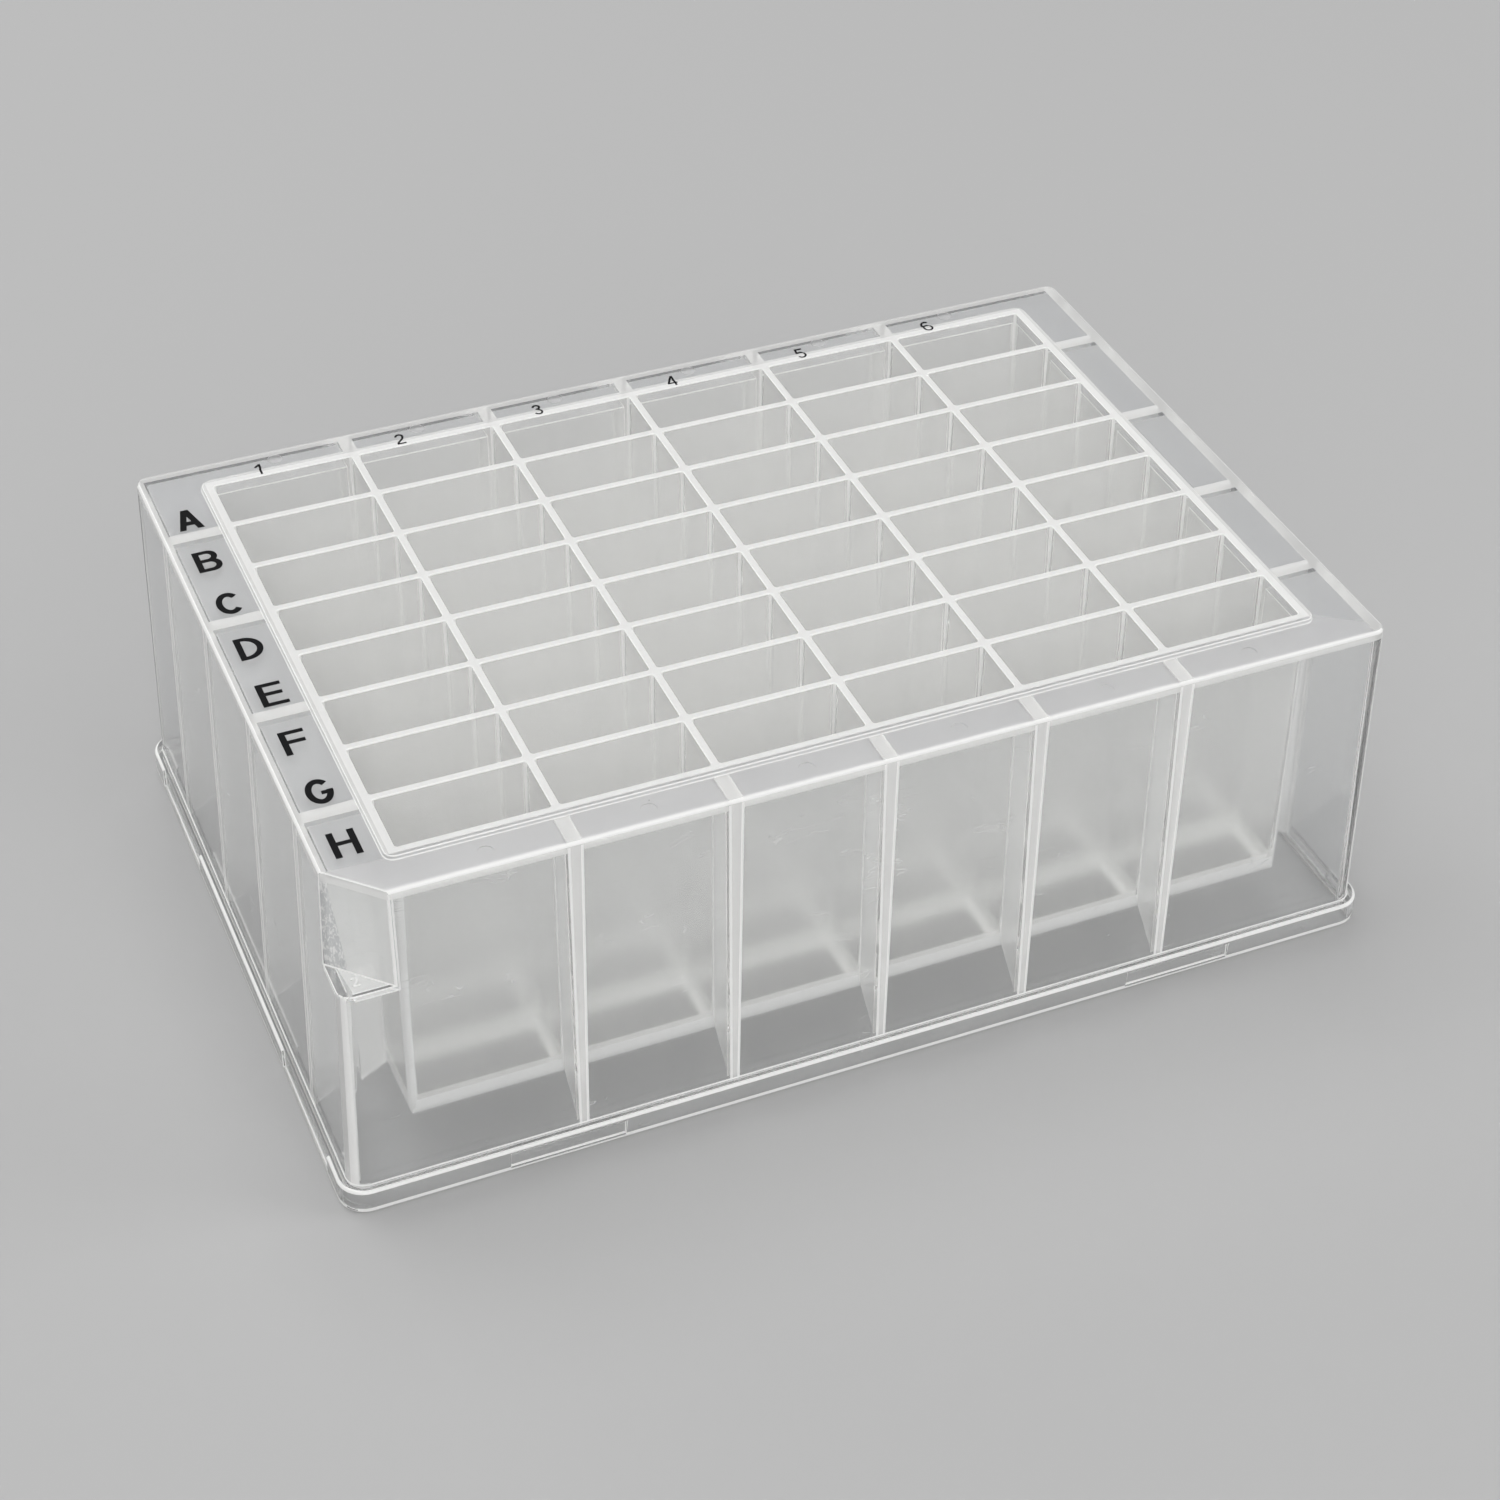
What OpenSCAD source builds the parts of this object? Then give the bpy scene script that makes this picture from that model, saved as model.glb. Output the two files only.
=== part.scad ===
// Deep-well plate with 48 rectangular wells, moulded in one piece, with printed row letters
// and column numbers. Millimetres. The origin is the middle of the footprint on the standing
// face, +X runs along the rows of wells, +Y runs towards row A, and +Z is up.

/* [Footprint] */
// Length over the foot flange
plate_l = 127.76; // [126:0.01:134]
// Width over the foot flange
plate_w = 85.48; // [84.5:0.01:92]
// Height from the standing face to the rim round the wells
plate_h = 44; // [30:0.5:60]
// Outer corner radius of the foot flange
corner_r = 3.18; // [2.4:0.01:4]

/* [Foot flange] */
// Height of the foot flange
flange_h = 3.2; // [2.6:0.1:6]
// How far the flange stands out from the skirt on each side
flange_out = 1.05; // [0.8:0.05:1.5]
// Rounding of the flange's outer edges
flange_round = 0.4; // [0.2:0.05:0.6]
// Depth of the shallow pockets in the flange's faces
pocket_d = 0.35; // [0.1:0.05:0.5]
// Length of each front and back pocket
pocket_front_l = 13.6; // [6:0.1:18]
// Distance of the front and back pockets from the middle of the plate
pocket_front_x = 38.2; // [20:0.1:46]
// Length of each pocket in the two short sides
pocket_side_l = 17.6; // [6:0.1:18]
// Distance of the side pockets from the middle of the plate
pocket_side_y = 27; // [12:0.1:28]

/* [Skirt and deck] */
// Wall thickness of the skirt
skirt_t = 1.15; // [0.8:0.05:1.5]
// How much the short sides lean in between flange and deck
lean_x = 1.0; // [0:0.1:1.4]
// How much the long sides lean in between flange and deck
lean_y = 0.3; // [0:0.1:0.8]
// Corner radius of the skirt at the deck
deck_corner_r = 1.4; // [1:0.1:2]
// Thickness of the deck
deck_t = 1.2; // [0.8:0.1:2]
// Rounding of the deck's outer edge
deck_round = 0.5; // [0.2:0.1:0.7]
// How far the rim stands above the deck
rim_step = 0.5; // [0.3:0.1:1.2]
// Width of the rim outside the wells
rim_w = 1.4; // [1:0.1:1.8]
// Corner radius of the rim
rim_r = 1.2; // [0.6:0.1:2]

/* [Wells] */
// Number of wells in a row
columns = 6; // [3:1:6]
// Number of rows
rows = 8; // [4:2:8]
// Distance from the deck's short edges to the grid of wells, which fills the rest
end_strip = 7.83; // [7:0.01:9]
// Distance from the deck's long edges to the grid of wells, which fills the rest
side_strip = 5.39; // [5:0.01:7]
// Thickness of the walls between wells at the mouth
web_t = 0.9; // [0.7:0.05:1.2]
// Depth of a well
well_depth = 36.9; // [10:0.1:38]
// How much a well narrows on each side between mouth and floor
well_draft = 0.12; // [0:0.01:0.3]
// Radius between floor and walls inside a well
floor_r = 1.2; // [0.5:0.1:2]
// Radius of a well's upright corners at the mouth
mouth_r = 0.4; // [0.2:0.1:1]
// Thickness of a well's floor
floor_t = 1.6; // [0.8:0.1:2.5]
// Thickness of the outer walls of the well block
block_t = 0.9; // [0.7:0.05:1.2]
// Outer radius along the bottom of each well
foot_r = 2.2; // [1:0.1:3]

/* [Ribs] */
// Thickness of a rib under the deck
rib_top_t = 1.75; // [1.2:0.05:2.5]
// Thickness of a rib at its foot
rib_foot_t = 1.15; // [0.8:0.05:1.75]
// How much higher a long-side rib ends at the wells than at the skirt
rib_rise_y = 5.4; // [0:0.1:10]
// How much higher a short-side rib ends at the wells than at the skirt
rib_rise_x = 4.6; // [0:0.1:10]

/* [Corner notch] */
// Length of the corner cut, along each side of the deck
notch_leg = 5.7; // [3:0.1:6]
// Height of the notch, from the deck down to its ledge
notch_drop = 12.9; // [5:0.1:25]
// Height of the moulded numeral on the ledge
cavity_mark_h = 1.5; // [1:0.1:2]

/* [Moulding marks] */
// Diameter of the pin marks along the deck's long edges
pin_d = 1.8; // [1:0.1:2.6]
// Distance of the pin marks from the deck's edge
pin_inset = 2.2; // [2:0.1:2.8]
// Depth of the pin marks and of the panel
mark_d = 0.1; // [0.05:0.05:0.3]
// Length of the panel outline under the deck beside the last column
panel_l = 15; // [8:0.5:16]
// Width of the panel outline
panel_w = 3.4; // [2:0.1:4.5]

/* [Printing] */
// Height of the row letters
letter_h = 4.1; // [3.6:0.1:5]
// How far the letters stand below the middles of their rows
letter_drop = 1.05; // [0:0.05:2]
// Stroke width of the row letters
letter_stroke = 0.72; // [0.4:0.02:0.76]
// Height of the column numbers
number_h = 2.15; // [1.5:0.05:2.5]
// Stroke width of the column numbers
number_stroke = 0.27; // [0.15:0.01:0.4]
// Distance from the middle of a column to the left edge of its number
number_left = 3.75; // [2:0.05:6]
// How far the step of the rim draws a number out
number_draw = 0.75; // [0.2:0.05:1.2]
// How much closer together the numbers stand than the columns
number_gain = 0.2; // [0:0.1:0.4]
// Thickness of the printed ink
ink_t = 0.05; // [0.03:0.01:0.1]

/* [Hidden] */
$fn = 48;
lap = 0.3; // how far one form of the moulding runs into the next
bar_share = 0.76; // a letter's level strokes, as a share of its upright ones

function column_x(i) = (i - (columns - 1) / 2) * pitch_x;
function number_x(i) = column_x(i) - number_left - number_gain * (i - (columns - 1) / 2);
function row_y(i) = ((rows - 1) / 2 - i) * pitch_y;
function between(a, b, t) = a + (b - a) * t;

deck_z = plate_h - rim_step;
deck_under_z = deck_z - deck_t;
floor_z = plate_h - well_depth;
block_z = floor_z - floor_t;
ledge_z = flange_h - 0.6;
notch_z = deck_z - notch_drop;

foot_l = plate_l - 2 * flange_out;
foot_w = plate_w - 2 * flange_out;
foot_corner_r = corner_r - flange_out;
deck_l = foot_l - 2 * lean_x;
deck_w = foot_w - 2 * lean_y;

pitch_x = (deck_l - 2 * end_strip) / columns;
pitch_y = (deck_w - 2 * side_strip) / rows;
mouth_l = pitch_x - web_t;
mouth_w = pitch_y - web_t;
floor_l = mouth_l - 2 * well_draft;
floor_w = mouth_w - 2 * well_draft;
field_l = (columns - 1) * pitch_x;
field_w = (rows - 1) * pitch_y;
block_l = field_l + mouth_l + 2 * block_t;
block_w = field_w + mouth_w + 2 * block_t;
rim_l = field_l + mouth_l + 2 * rim_w;
rim_width = field_w + mouth_w + 2 * rim_w;

// ---------- plane shapes ----------

module rounded_rect(l, w, r) {
    square([l - 2 * r, w], center = true);
    square([l, w - 2 * r], center = true);
    for (x = [-1, 1], y = [-1, 1])
        translate([x * (l / 2 - r), y * (w / 2 - r)])
            circle(r);
}

// A flat-bottomed cup in section, standing on y = 0: width at the foot, width at height h.
module cup_section(foot, top, h, r) {
    translate([-foot / 2 + r, 0])
        square([foot - 2 * r, r + lap]);
    polygon([[-foot / 2, r], [foot / 2, r], [top / 2, h], [-top / 2, h]]);
    for (side = [-1, 1])
        translate([side * (foot / 2 - r), r])
            circle(r);
}

// ---------- solids along one axis ----------

// Extrudes an X-Z section along Y, and a Y-Z section along X, centred on the origin.
module along_y(length) {
    rotate([90, 0, 0])
        linear_extrude(length, center = true)
            children();
}

module along_x(length) {
    rotate([90, 0, 90])
        linear_extrude(length, center = true)
            children();
}

module at_corners(l, w) {
    for (x = [-1, 1], y = [-1, 1])
        translate([x * l / 2, y * w / 2, 0])
            children();
}

// A disc on z = 0 whose edges are rounded below and above.
module soft_disc(r, h, below, above) {
    rotate_extrude() {
        translate([0, below])
            square([r, h - below - above]);
        square([r - max(below, above), h]);
        if (below > 0)
            translate([r - below, below])
                intersection() {
                    circle(below);
                    translate([0, -below])
                        square(below);
                }
        if (above > 0)
            translate([r - above, h - above])
                intersection() {
                    circle(above);
                    square(above);
                }
    }
}

// A slab on z = 0 with round corners and with all its outer edges rounded.
module soft_slab(l, w, h, r, edge) {
    at_corners(l - 2 * r, w - 2 * r)
        soft_disc(r, h, edge, edge);
    along_y(w - 2 * r)
        translate([0, h / 2])
            rounded_rect(l, h, edge);
    along_x(l - 2 * r)
        translate([0, h / 2])
            rounded_rect(w, h, edge);
}

// ---------- the moulding ----------

// Outside of skirt and deck: a leaning rounded box whose top edge is soft.
module skirt_outside() {
    seat_h = flange_h - ledge_z;
    hull() {
        translate([0, 0, ledge_z])
            at_corners(foot_l - 2 * foot_corner_r, foot_w - 2 * foot_corner_r)
                cylinder(r = foot_corner_r, h = seat_h);
        translate([0, 0, deck_z - 2 * deck_round])
            at_corners(deck_l - 2 * deck_corner_r, deck_w - 2 * deck_corner_r)
                soft_disc(deck_corner_r, 2 * deck_round, 0, deck_round, $fn = 32);
    }
}

// Inside of skirt and deck, a wall thickness in from the outside.
module skirt_inside() {
    seat_h = flange_h - ledge_z;
    foot_in_r = foot_corner_r - skirt_t;
    deck_in_r = deck_corner_r * 0.35;
    hull() {
        translate([0, 0, ledge_z])
            at_corners(foot_l - 2 * foot_corner_r, foot_w - 2 * foot_corner_r)
                cylinder(r = foot_in_r, h = seat_h, $fn = 32);
        translate([0, 0, deck_under_z - 1])
            at_corners(deck_l - 2 * (skirt_t + deck_in_r), deck_w - 2 * (skirt_t + deck_in_r))
                cylinder(r = deck_in_r, h = 1, $fn = 32);
    }
}

// The corner cut, as a prism at the front left corner, moved out by "inset" and down by "drop".
module notch_prism(inset, drop) {
    leg = notch_leg - inset * sqrt(2);
    reach = 12;
    translate([-deck_l / 2, -deck_w / 2, notch_z - drop])
        linear_extrude(plate_h)
            polygon([
                [-reach, leg + reach], [-reach, -reach], [leg + reach, -reach]
            ]);
}

module skirt_and_deck() {
    difference() {
        skirt_outside();
        difference() {
            skirt_inside();
            notch_prism(-skirt_t, deck_t);
        }
        notch_prism(0, 0);
    }
}

module flange() {
    difference() {
        soft_slab(plate_l, plate_w, flange_h, corner_r, flange_round);
        translate([0, 0, -lap])
            linear_extrude(ledge_z + lap)
                rounded_rect(foot_l, foot_w, foot_corner_r);
        translate([0, 0, ledge_z - lap])
            linear_extrude(flange_h)
                rounded_rect(foot_l - 2 * skirt_t, foot_w - 2 * skirt_t, foot_corner_r - skirt_t);
        flange_pockets();
    }
}

// Shallow pockets: closed above on the long sides, open above on the short sides.
module flange_pockets() {
    lip = 0.5;
    for (x = [-1, 1], y = [-1, 1]) {
        translate([x * pocket_front_x, y * plate_w / 2, (ledge_z - lip) / 2 + lip])
            cube([pocket_front_l, 2 * pocket_d, ledge_z - lip], center = true);
        translate([x * plate_l / 2, y * pocket_side_y, flange_h / 2 + lip])
            cube([2 * pocket_d, pocket_side_l, flange_h], center = true);
    }
}

// Outside of the well block: six wells by eight, each with a round-edged foot of its own.
module block_outside() {
    foot_cup_l = floor_l + 2 * block_t;
    foot_cup_w = floor_w + 2 * block_t;
    tall = deck_z - block_z;
    intersection() {
        along_y(block_w + 2)
            translate([0, block_z]) {
                for (i = [0:columns - 1])
                    translate([column_x(i), 0])
                        cup_section(foot_cup_l, mouth_l + 2 * block_t, tall, foot_r);
            }
        along_x(block_l + 2)
            translate([0, block_z]) {
                for (i = [0:rows - 1])
                    translate([row_y(i), 0])
                        cup_section(foot_cup_w, mouth_w + 2 * block_t, tall, foot_r);
            }
        linear_extrude(plate_h)
            rounded_rect(block_l, block_w, block_t + mouth_r);
    }
}

// Inside of all the wells, running out through the rim.
module well_hollows() {
    tall = well_depth * 1.05;
    flare = 2 * well_draft * 0.05;
    intersection() {
        along_y(block_w + 2)
            translate([0, floor_z])
                for (i = [0:columns - 1])
                    translate([column_x(i), 0])
                        cup_section(floor_l, mouth_l + flare, tall, floor_r);
        along_x(block_l + 2)
            translate([0, floor_z])
                for (i = [0:rows - 1])
                    translate([row_y(i), 0])
                        cup_section(floor_w, mouth_w + flare, tall, floor_r);
        linear_extrude(plate_h * 2)
            for (i = [0:columns - 1], j = [0:rows - 1])
                translate([column_x(i), row_y(j)])
                    rounded_rect(mouth_l + 2 * flare, mouth_w + 2 * flare, mouth_r);
    }
}

module rim() {
    translate([0, 0, deck_z - deck_t / 2])
        linear_extrude(rim_step + deck_t / 2)
            rounded_rect(rim_l, rim_width, rim_r);
}

// One rib in section, centred on x = 0: thin at the foot, thicker under the deck.
module rib_section() {
    polygon([
        [-rib_foot_t / 2, ledge_z], [rib_foot_t / 2, ledge_z],
        [rib_top_t / 2, deck_under_z + lap], [-rib_top_t / 2, deck_under_z + lap]
    ]);
}

// The two side views of a rib, from the well block out to the middle of the skirt wall.
module rib_side(block_half, foot_half, deck_half, rise) {
    start = block_half - block_t / 2;
    for (side = [-1, 1])
        polygon([
            [side * start, ledge_z + rise], [side * (foot_half - skirt_t / 2), ledge_z],
            [side * (deck_half - skirt_t / 2), deck_under_z + lap],
            [side * start, deck_under_z + lap]
        ]);
}

// Ribs from the long sides, one between every two columns.
module column_ribs() {
    intersection() {
        along_y(foot_w)
            for (i = [0:columns - 2])
                translate([column_x(i) + pitch_x / 2, 0])
                    rib_section();
        along_x(foot_l)
            rib_side(block_w / 2, foot_w / 2, deck_w / 2, rib_rise_y);
    }
}

// Ribs from the short sides, one after every second row.
module row_ribs() {
    intersection() {
        along_x(foot_l)
            for (i = [0:2:rows - 2])
                translate([row_y(i) - pitch_y / 2, 0])
                    rib_section();
        along_y(foot_w)
            rib_side(block_l / 2, foot_l / 2, deck_l / 2, rib_rise_x);
    }
}

// What the mould leaves in the deck: pin circles in its top and one panel in its underside.
module moulding_marks() {
    panel_x = (block_l / 2 + deck_l / 2 - skirt_t) / 2;
    for (i = [0:columns - 1], side = [-1, 1])
        translate([column_x(i), side * (deck_w / 2 - pin_inset), deck_z - mark_d])
            cylinder(d = pin_d, h = mark_d + lap);
    translate([panel_x - panel_w / 2, -panel_l / 2, deck_under_z - lap])
        cube([panel_w, panel_l, lap + mark_d]);
}

module cavity_mark() {
    middle = notch_leg * 0.36;
    translate([-deck_l / 2 + middle, -deck_w / 2 + middle, notch_z - deck_t / 2])
        linear_extrude(deck_t / 2 + mark_d)
            translate([-0.3, -0.5] * cavity_mark_h)
                digit(2, cavity_mark_h, cavity_mark_h * 0.15);
}

module plate() {
    color([0.86, 0.88, 0.88, 0.5])
        difference() {
            union() {
                skirt_and_deck();
                flange();
                block_outside();
                rim();
                column_ribs();
                row_ribs();
                cavity_mark();
            }
            well_hollows();
            moulding_marks();
            number_seats();
        }
}

// ---------- the printing ----------

// Bold capitals A to H with height h and stroke t, standing on y = 0 from x = 0.
module letter(index, h, t) {
    w = 0.72 * h;
    if (index == 0) letter_a(w, h, t);
    if (index == 1) letter_b(w, h, t);
    if (index == 2) letter_c(w, h, t);
    if (index == 3) bowl(w, h, t);
    if (index == 4) letter_e(w, h, t, true);
    if (index == 5) letter_e(w, h, t, false);
    if (index == 6) letter_g(w, h, t);
    if (index == 7) letter_h(w, h, t);
}

module letter_a(w, h, t) {
    tip = t * 0.62;
    bar_y = h * 0.22;
    function inner(y) = t * 1.08 + (w / 2 - tip) * y / h;
    apex_y = h * (w / 2 - t * 1.08) / (w / 2 - tip);
    difference() {
        polygon([[0, 0], [w, 0], [w / 2 + tip, h], [w / 2 - tip, h]]);
        polygon([
            [inner(-1), -1], [w - inner(-1), -1], [w - inner(bar_y), bar_y], [inner(bar_y), bar_y]
        ]);
        polygon([
            [inner(bar_y + t), bar_y + t], [w - inner(bar_y + t), bar_y + t], [w / 2, apex_y]
        ]);
    }
}

// A stem at x = 0 with a round bowl of height h that reaches out to w. Bars are thinner than
// stems.
module bowl(w, h, t) {
    r = h / 2;
    bar = t * bar_share;
    difference() {
        half_round(w, h, r);
        translate([t, bar])
            half_round(w - 2 * t, h - 2 * bar, r - bar);
    }
}

module half_round(w, h, r) {
    square([w - r, h]);
    intersection() {
        translate([w - r, r])
            circle(r);
        translate([w - r, 0])
            square([r, h]);
    }
}

module letter_b(w, h, t) {
    waist = h * 0.52;
    half_bar = t * bar_share / 2;
    translate([0, waist - half_bar])
        bowl(w * 0.94, h - waist + half_bar, t);
    bowl(w, waist + half_bar, t);
}

module letter_c(w, h, t) {
    half = [w, h * 1.01] / 2;
    pen(arc_points([half[0] * 1.06, h / 2], half - [t, t] / 2, 42, 318, 24), t);
}

// The letter E, or without its foot the letter F.
module letter_e(w, h, t, foot) {
    bar = t * bar_share;
    square([t, h]);
    translate([0, h - bar])
        square([w * 0.95, bar]);
    translate([0, (h - bar) * 0.54])
        square([w * 0.9, bar]);
    if (foot)
        square([w, bar]);
}

module letter_g(w, h, t) {
    half = [w, h * 1.01] / 2;
    bar = t * bar_share;
    pen(arc_points([half[0], h / 2], half - [t, t] / 2, 42, 362, 28), t);
    translate([w * 0.55, h / 2 - bar])
        square([w * 0.45 - t / 2, bar]);
}

module letter_h(w, h, t) {
    bar = t * bar_share;
    square([t, h]);
    translate([w - t, 0])
        square([t, h]);
    translate([0, (h - bar) * 0.54])
        square([w, bar]);
}

// Points along a stretched arc, and along a straight line.
function arc_points(centre, r, start, end, steps = 16) = [
    for (i = [0:steps])
        let (a = between(start, end, i / steps))
        centre + [r[0] * cos(a), r[1] * sin(a)]
];
function line_points(from, to, steps = 8) = [
    for (i = [0:steps])
        between(from, to, i / steps)
];

// Paths that draw the plain digits 1 to 6, each one unit high, standing on y = 0 from x = 0.
// Half a stroke, s, keeps each path inside its digit's own height and width.
function digit_paths(value, s) =
    value == 1 ? [
        line_points([0.36, 0], [0.38, 1]),
        line_points([0.38, 1 - s], [0.1, 0.74])
    ] : value == 2 ? [
        concat(
            arc_points([0.26, 0.73], [0.26, 0.27] - [s, s], 172, -35),
            line_points([0.4, 0.5], [0.04, 2 * s])
        ),
        [[0, s], [0.53, s]]
    ] : value == 3 ? [
        concat(
            arc_points([0.26, 0.745], [0.25, 0.255] - [s, s], 168, -80),
            [[0.22, 0.53]]
        ),
        concat(
            [[0.22, 0.53]],
            arc_points([0.27, 0.28], [0.27, 0.28] - [s, s], 75, -168)
        )
    ] : value == 4 ? [
        line_points([0.45, 0], [0.47, 1]),
        line_points([0.45, 0.98], [0.05, 0.28]),
        [[0, 0.28], [0.6, 0.28]]
    ] : value == 5 ? [
        [[0.1, 1 - s], [0.52, 1 - s]],
        line_points([0.13, 1], [0.08, 0.51]),
        arc_points([0.27, 0.33], [0.3, 0.33] - [s, s], 135, -155, 24)
    ] : [
        concat(
            arc_points([0.34, 0.6], [0.34, 0.4] - [s, s], 50, 180),
            line_points([s, 0.56], [s, 0.34]),
            arc_points([0.31, 0.31], [0.31, 0.31] - [s, s], 180, 470, 18),
            [[2 * s + 0.025, 0.58 - s]]
        )
    ];

// A pen stroke of width t along a path.
module pen(path, t) {
    last = len(path) - 1;
    sides = [
        for (i = [0:last])
            let (run = path[min(i + 1, last)] - path[max(i - 1, 0)])
            [-run[1], run[0]] / norm(run) * t / 2
    ];
    polygon(concat(
        [for (i = [0:last]) path[i] - sides[i]],
        [for (i = [0:last]) path[last - i] + sides[last - i]]
    ));
}

// A digit with height h and stroke t. Points higher than "fold" are carried on by "carry".
module digit(value, h, t, fold = 1000, carry = [0, 0]) {
    for (path = digit_paths(value, t / h / 2))
        pen([for (p = path) h * p + (h * p[1] > fold ? carry : [0, 0])], t);
}

// Row letters on the deck, a little below the middle of their rows.
module row_letters() {
    middle_x = -(block_l / 2 + deck_l / 2) / 2 + 0.1;
    color([0.02, 0.02, 0.02])
        translate([0, 0, deck_z])
            linear_extrude(ink_t)
                for (i = [0:rows - 1])
                    translate([middle_x - letter_h * 0.36, row_y(i) - letter_drop - letter_h / 2])
                        letter(i, letter_h, letter_stroke);
}

// Column numbers across the step of the rim: the foot of each is on the rim, the head on the
// deck, and the pad that prints them draws them out a little over the step. Their ink is flush
// with the rim's top, so that a seal or a lid lies flat on it.
module number_row() {
    on_rim = number_h / 2;
    for (i = [0:columns - 1])
        translate([number_x(i), rim_width / 2 - on_rim])
            digit(i + 1, number_h, number_stroke, on_rim, [0.35, 1] * number_draw);
}

module number_seats() {
    translate([0, 0, plate_h - ink_t])
        linear_extrude(ink_t + lap)
            number_row();
}

module column_numbers() {
    half_l = plate_l / 2;
    step_y = rim_width / 2;
    color([0.02, 0.02, 0.02]) {
        translate([0, 0, plate_h - ink_t])
            linear_extrude(ink_t)
                intersection() {
                    number_row();
                    translate([-half_l, 0])
                        square([plate_l, step_y]);
                }
        translate([0, 0, deck_z])
            linear_extrude(ink_t)
                intersection() {
                    number_row();
                    translate([-half_l, step_y])
                        square([plate_l, step_y]);
                }
        translate([0, 0, deck_z])
            linear_extrude(rim_step)
                intersection() {
                    number_row();
                    translate([-half_l, step_y])
                        square([plate_l, ink_t]);
                }
    }
}

plate();
row_letters();
column_numbers();
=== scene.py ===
# %% [markdown]
# # A deep-well plate in clear, slightly milky plastic
# The object is a laboratory plate, moulded in one piece: 48 deep rectangular wells hang from a
# rim, a thin skirt with ribs goes round them, and a flange runs along the foot. Black letters
# and numbers are printed on the deck. The solid parts come in as a fixed frame, at their real
# size in metres. This script adds what the solids lack: soft edges, the finish of the plastic,
# the ink, a floor, light and a camera.

import math

import bmesh
import bpy
from mathutils import Matrix, Vector


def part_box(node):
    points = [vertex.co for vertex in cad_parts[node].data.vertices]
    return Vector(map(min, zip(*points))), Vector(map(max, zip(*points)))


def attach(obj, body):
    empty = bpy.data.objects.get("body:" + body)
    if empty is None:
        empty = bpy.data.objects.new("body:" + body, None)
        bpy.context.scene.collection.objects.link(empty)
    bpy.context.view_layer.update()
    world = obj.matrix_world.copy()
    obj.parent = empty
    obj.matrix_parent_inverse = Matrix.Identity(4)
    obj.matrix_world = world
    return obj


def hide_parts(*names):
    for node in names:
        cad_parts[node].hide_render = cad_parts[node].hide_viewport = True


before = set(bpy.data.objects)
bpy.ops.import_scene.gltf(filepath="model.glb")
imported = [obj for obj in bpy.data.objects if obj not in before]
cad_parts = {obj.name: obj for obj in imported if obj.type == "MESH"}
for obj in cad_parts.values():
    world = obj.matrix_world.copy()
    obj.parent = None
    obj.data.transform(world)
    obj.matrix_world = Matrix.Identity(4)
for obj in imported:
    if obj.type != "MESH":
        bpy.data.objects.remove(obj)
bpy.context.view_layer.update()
MM = 0.001
low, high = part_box("plate")
size = high - low
print("plate, in mm:", [round(v / MM, 2) for v in size])

# %% [markdown]
# ## The camera
# The plate is looked down on from its front left corner, at about 36 degrees. The sensor is
# shifted a little, which keeps the uprights from leaning together and leaves room round the
# plate. A camera could be aimed with a Track To constraint, but its axes are written as a matrix
# here, because three directions and a place say exactly how it stands.

# %% Camera
SENSOR_WIDTH = 36
FOCAL_LENGTH = 74.83
SENSOR_SHIFT = -0.1
camera_data = bpy.data.cameras.new("studio_camera")
camera_data.sensor_width = SENSOR_WIDTH
camera_data.lens = FOCAL_LENGTH
camera_data.shift_y = SENSOR_SHIFT
camera_data.clip_start = 0.01
camera_data.clip_end = 50
camera = bpy.data.objects.new("studio_camera", camera_data)
bpy.context.scene.collection.objects.link(camera)
right = Vector((0.92132, -0.38866, 0.01034))
up = Vector((0.22172, 0.54706, 0.80719))
back = Vector((-0.31938, -0.74140, 0.59020))
place = Vector((-116.45, -272.74, 253.35)) * MM
axes = Matrix((right, up, back)).transposed().to_4x4()
camera.matrix_world = Matrix.Translation(place) @ axes
bpy.context.scene.camera = camera
print("camera is", round(place.length, 3), "m from the middle of the footprint")

# %% [markdown]
# ## Adding up sockets
# A finish is a sum of patterns. Written as plain node calls it takes a page, so this small
# class stands for one output socket and lets `+`, `-` and `*` add the node that does the sum. It
# picks Math for numbers, Vector Math for vectors and Mix for colours. Its method `node` adds any
# other node.

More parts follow.
